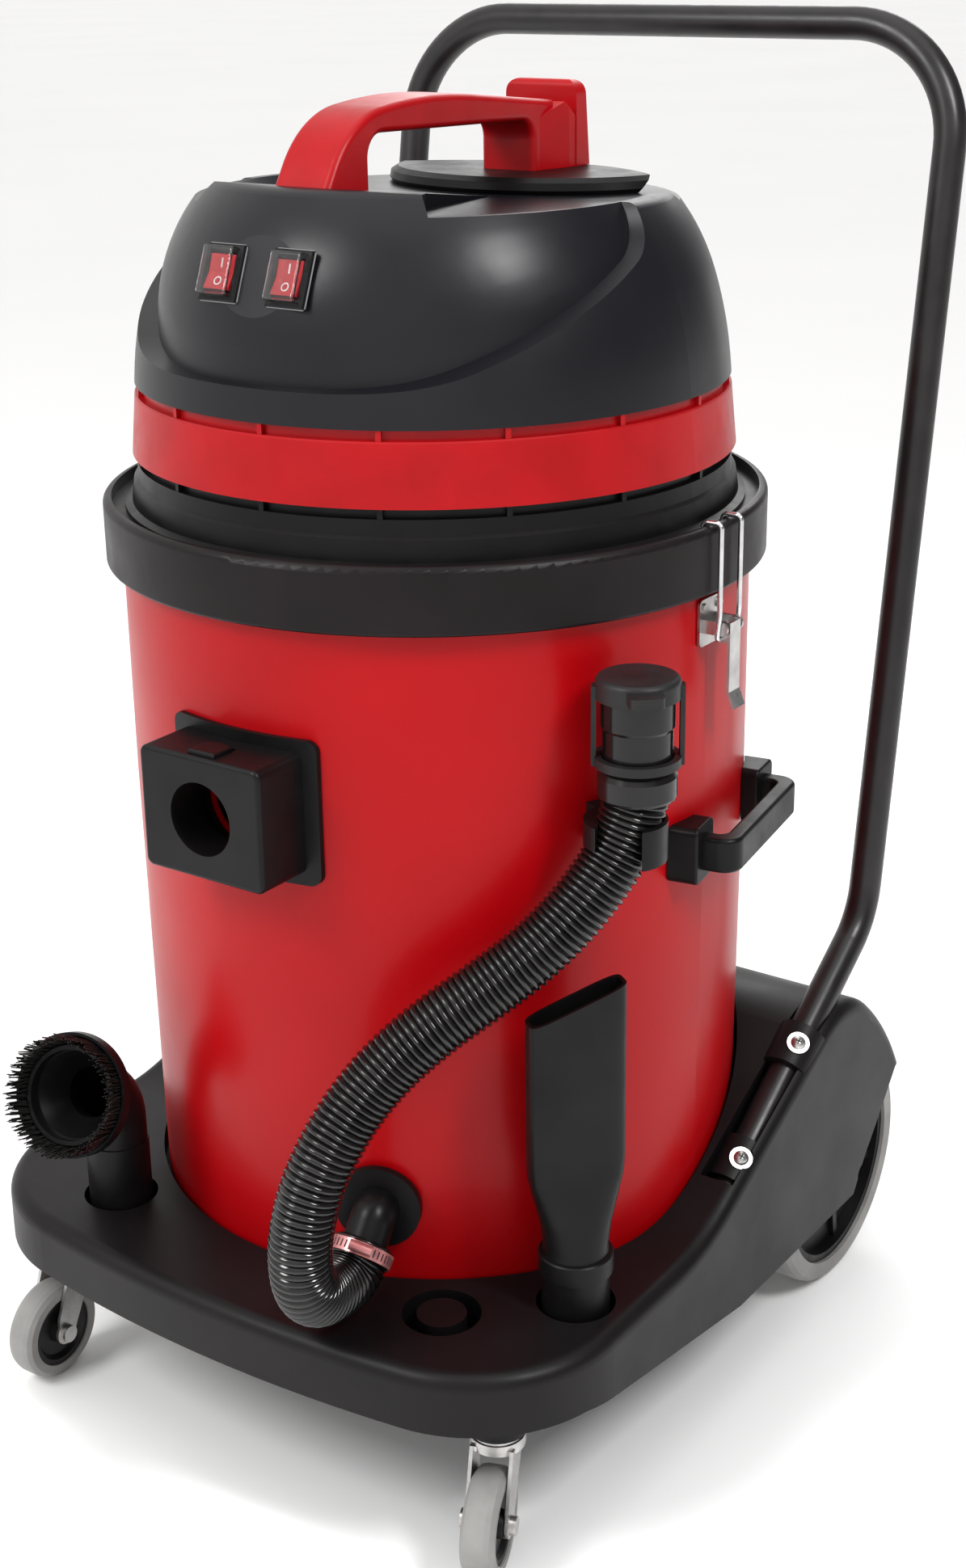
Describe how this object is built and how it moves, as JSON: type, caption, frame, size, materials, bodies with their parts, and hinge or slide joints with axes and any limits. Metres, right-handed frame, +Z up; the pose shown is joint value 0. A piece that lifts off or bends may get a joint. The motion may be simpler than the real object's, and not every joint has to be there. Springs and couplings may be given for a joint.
{
  "type": "wet and dry shop vacuum",
  "caption": "Wet and dry shop vacuum with a tall round tank on a four-wheel trolley, motor head, push handle, drain hose and parked tools.",
  "frame": {"origin": "on the floor, on the machine's centre plane, midway between its front and its back; the tank's axis is 11.85 mm in front of it", "axes": "+Z up, -Y towards the front with the suction inlet, +X towards the side with the drain hose"},
  "size_m": [0.5225, 0.6565, 0.975],
  "materials": {
    "base_plastic": "satin",
    "black_plastic": "satin",
    "dome_plastic": "satin",
    "rim_plastic": "satin",
    "red_plastic": "satin",
    "tank_paint": "gloss",
    "tube_paint": "satin",
    "zinc": "satin",
    "wire_steel": "polished",
    "clamp_steel": "satin",
    "seal_rubber": "matte",
    "cap_rubber": "matte",
    "hose_plastic": "satin",
    "gloss_cuff": "gloss",
    "clear_plastic": "gloss",
    "switch_red": "gloss",
    "hub_plastic": "satin",
    "tyre_grey": "matte",
    "motor_steel": "satin",
    "filter_cloth": "matte",
    "float_plastic": "matte",
    "bristle": "matte"
  },
  "bodies": {
    "root": {"base_trolley": "base_plastic", "push_handle": "tube_paint", "handle_screws": "zinc", "axle_caps": "hub_plastic", "rear_axle": "zinc", "caster_stems": "zinc", "tank": "tank_paint", "tank_gasket": "seal_rubber", "side_handle_right": "black_plastic", "side_handle_left": "black_plastic", "latch_bracket_right": "zinc", "latch_bracket_left": "zinc", "latch_rivets": "zinc", "inlet_block": "black_plastic", "drain_elbow": "black_plastic", "drain_hose": "hose_plastic", "hose_cuff": "gloss_cuff", "hose_clamp": "clamp_steel", "hose_clip": "black_plastic", "crevice_tool": "black_plastic"},
    "head": {"head_dome": "dome_plastic", "exhaust_ring": "red_plastic", "head_base": "black_plastic", "rim_flange": "rim_plastic", "carry_handle": "red_plastic", "cord_hook_plate": "black_plastic", "switch_bezel_right": "black_plastic", "switch_bezel_left": "black_plastic", "switch_cover_right": "clear_plastic", "switch_cover_left": "clear_plastic", "cord_gland": "black_plastic", "motor_housing_right": "motor_steel", "motor_housing_left": "motor_steel", "filter": "filter_cloth", "filter_cage": "black_plastic"},
    "switch_right": {"switch_rocker_right": "switch_red"},
    "switch_left": {"switch_rocker_left": "switch_red"},
    "rotor_right": {"motor_rotor_right": "motor_steel"},
    "rotor_left": {"motor_rotor_left": "motor_steel"},
    "float": {"float_ball": "float_plastic"},
    "caster_right": {"caster_fork_right": "zinc", "caster_axle_right": "zinc"},
    "caster_wheel_right": {"caster_tyre_right": "tyre_grey", "caster_hub_right": "hub_plastic"},
    "caster_left": {"caster_fork_left": "zinc", "caster_axle_left": "zinc"},
    "caster_wheel_left": {"caster_tyre_left": "tyre_grey", "caster_hub_left": "hub_plastic"},
    "rear_wheel_right": {"rear_tyre_right": "tyre_grey", "rear_hub_right": "hub_plastic"},
    "rear_wheel_left": {"rear_tyre_left": "tyre_grey", "rear_hub_left": "hub_plastic"},
    "lever_right": {"latch_lever_right": "zinc"},
    "lever_left": {"latch_lever_left": "zinc"},
    "bail_right": {"latch_bail_right": "wire_steel"},
    "bail_left": {"latch_bail_left": "wire_steel"},
    "button": {"release_button": "black_plastic"},
    "cap": {"drain_cap": "cap_rubber"},
    "brush": {"brush_body": "black_plastic", "brush_bristles": "bristle"}
  },
  "joints": [
    {"name": "head_lift", "type": "slide", "parent": "root", "child": "head", "axis": [0, 0, 1], "range_m": [0, 0.36]},
    {"name": "rocker_right", "type": "hinge", "parent": "head", "child": "switch_right", "pos_m": [0.027, -0.19099, 0.83226], "axis": [1, 0, 0], "range_deg": [0, 10]},
    {"name": "rocker_left", "type": "hinge", "parent": "head", "child": "switch_left", "pos_m": [-0.027, -0.19099, 0.83226], "axis": [1, 0, 0], "range_deg": [0, 10]},
    {"name": "motor_right", "type": "hinge", "parent": "head", "child": "rotor_right", "pos_m": [0.084, -0.01185, 0.7], "axis": [0, 0, 1], "continuous": true},
    {"name": "motor_left", "type": "hinge", "parent": "head", "child": "rotor_left", "pos_m": [-0.084, -0.01185, 0.7], "axis": [0, 0, 1], "continuous": true},
    {"name": "float_rise", "type": "slide", "parent": "head", "child": "float", "axis": [0, 0, 1], "range_m": [0, 0.13]},
    {"name": "caster_swivel_right", "type": "hinge", "parent": "root", "child": "caster_right", "pos_m": [0.197, -0.23385, 0.088], "axis": [0, 0, 1], "continuous": true},
    {"name": "caster_spin_right", "type": "hinge", "parent": "caster_right", "child": "caster_wheel_right", "pos_m": [0.20555, -0.25734, 0.037], "axis": [0.9397, 0.342, 0], "continuous": true},
    {"name": "caster_swivel_left", "type": "hinge", "parent": "root", "child": "caster_left", "pos_m": [-0.197, -0.23385, 0.088], "axis": [0, 0, 1], "continuous": true},
    {"name": "caster_spin_left", "type": "hinge", "parent": "caster_left", "child": "caster_wheel_left", "pos_m": [-0.197, -0.25885, 0.037], "axis": [1, 0, 0], "continuous": true},
    {"name": "rear_spin_right", "type": "hinge", "parent": "root", "child": "rear_wheel_right", "pos_m": [0.2225, 0.19115, 0.096], "axis": [1, 0, 0], "continuous": true},
    {"name": "rear_spin_left", "type": "hinge", "parent": "root", "child": "rear_wheel_left", "pos_m": [-0.2225, 0.19115, 0.096], "axis": [1, 0, 0], "continuous": true},
    {"name": "latch_right", "type": "hinge", "parent": "root", "child": "lever_right", "pos_m": [0.236, -0.01185, 0.6], "axis": [0, -1, 0], "range_deg": [0, 150]},
    {"name": "latch_left", "type": "hinge", "parent": "root", "child": "lever_left", "pos_m": [-0.236, -0.01185, 0.6], "axis": [0, 1, 0], "range_deg": [0, 150]},
    {"name": "bail_swing_right", "type": "hinge", "parent": "lever_right", "child": "bail_right", "pos_m": [0.234, -0.01185, 0.593], "axis": [0, -1, 0], "range_deg": [-170, 0], "deforming": ["latch_bail_right"]},
    {"name": "bail_swing_left", "type": "hinge", "parent": "lever_left", "child": "bail_left", "pos_m": [-0.234, -0.01185, 0.593], "axis": [0, 1, 0], "range_deg": [-170, 0], "deforming": ["latch_bail_left"]},
    {"name": "release_press", "type": "slide", "parent": "root", "child": "button", "axis": [0, 0, -1], "range_m": [0, 0.003], "stiffness_N_per_m": 400},
    {"name": "cap_pull", "type": "slide", "parent": "root", "child": "cap", "axis": [0, 0, 1], "range_m": [0, 0.022]},
    {"name": "brush_lift", "type": "slide", "parent": "root", "child": "brush", "axis": [0, 0, 1], "range_m": [0, 0.12]}
  ],
  "couplings": [
    {"joint": "bail_swing_right", "follows": "latch_right", "ratio": -1.1333},
    {"joint": "bail_swing_left", "follows": "latch_left", "ratio": -1.1333}
  ]
}
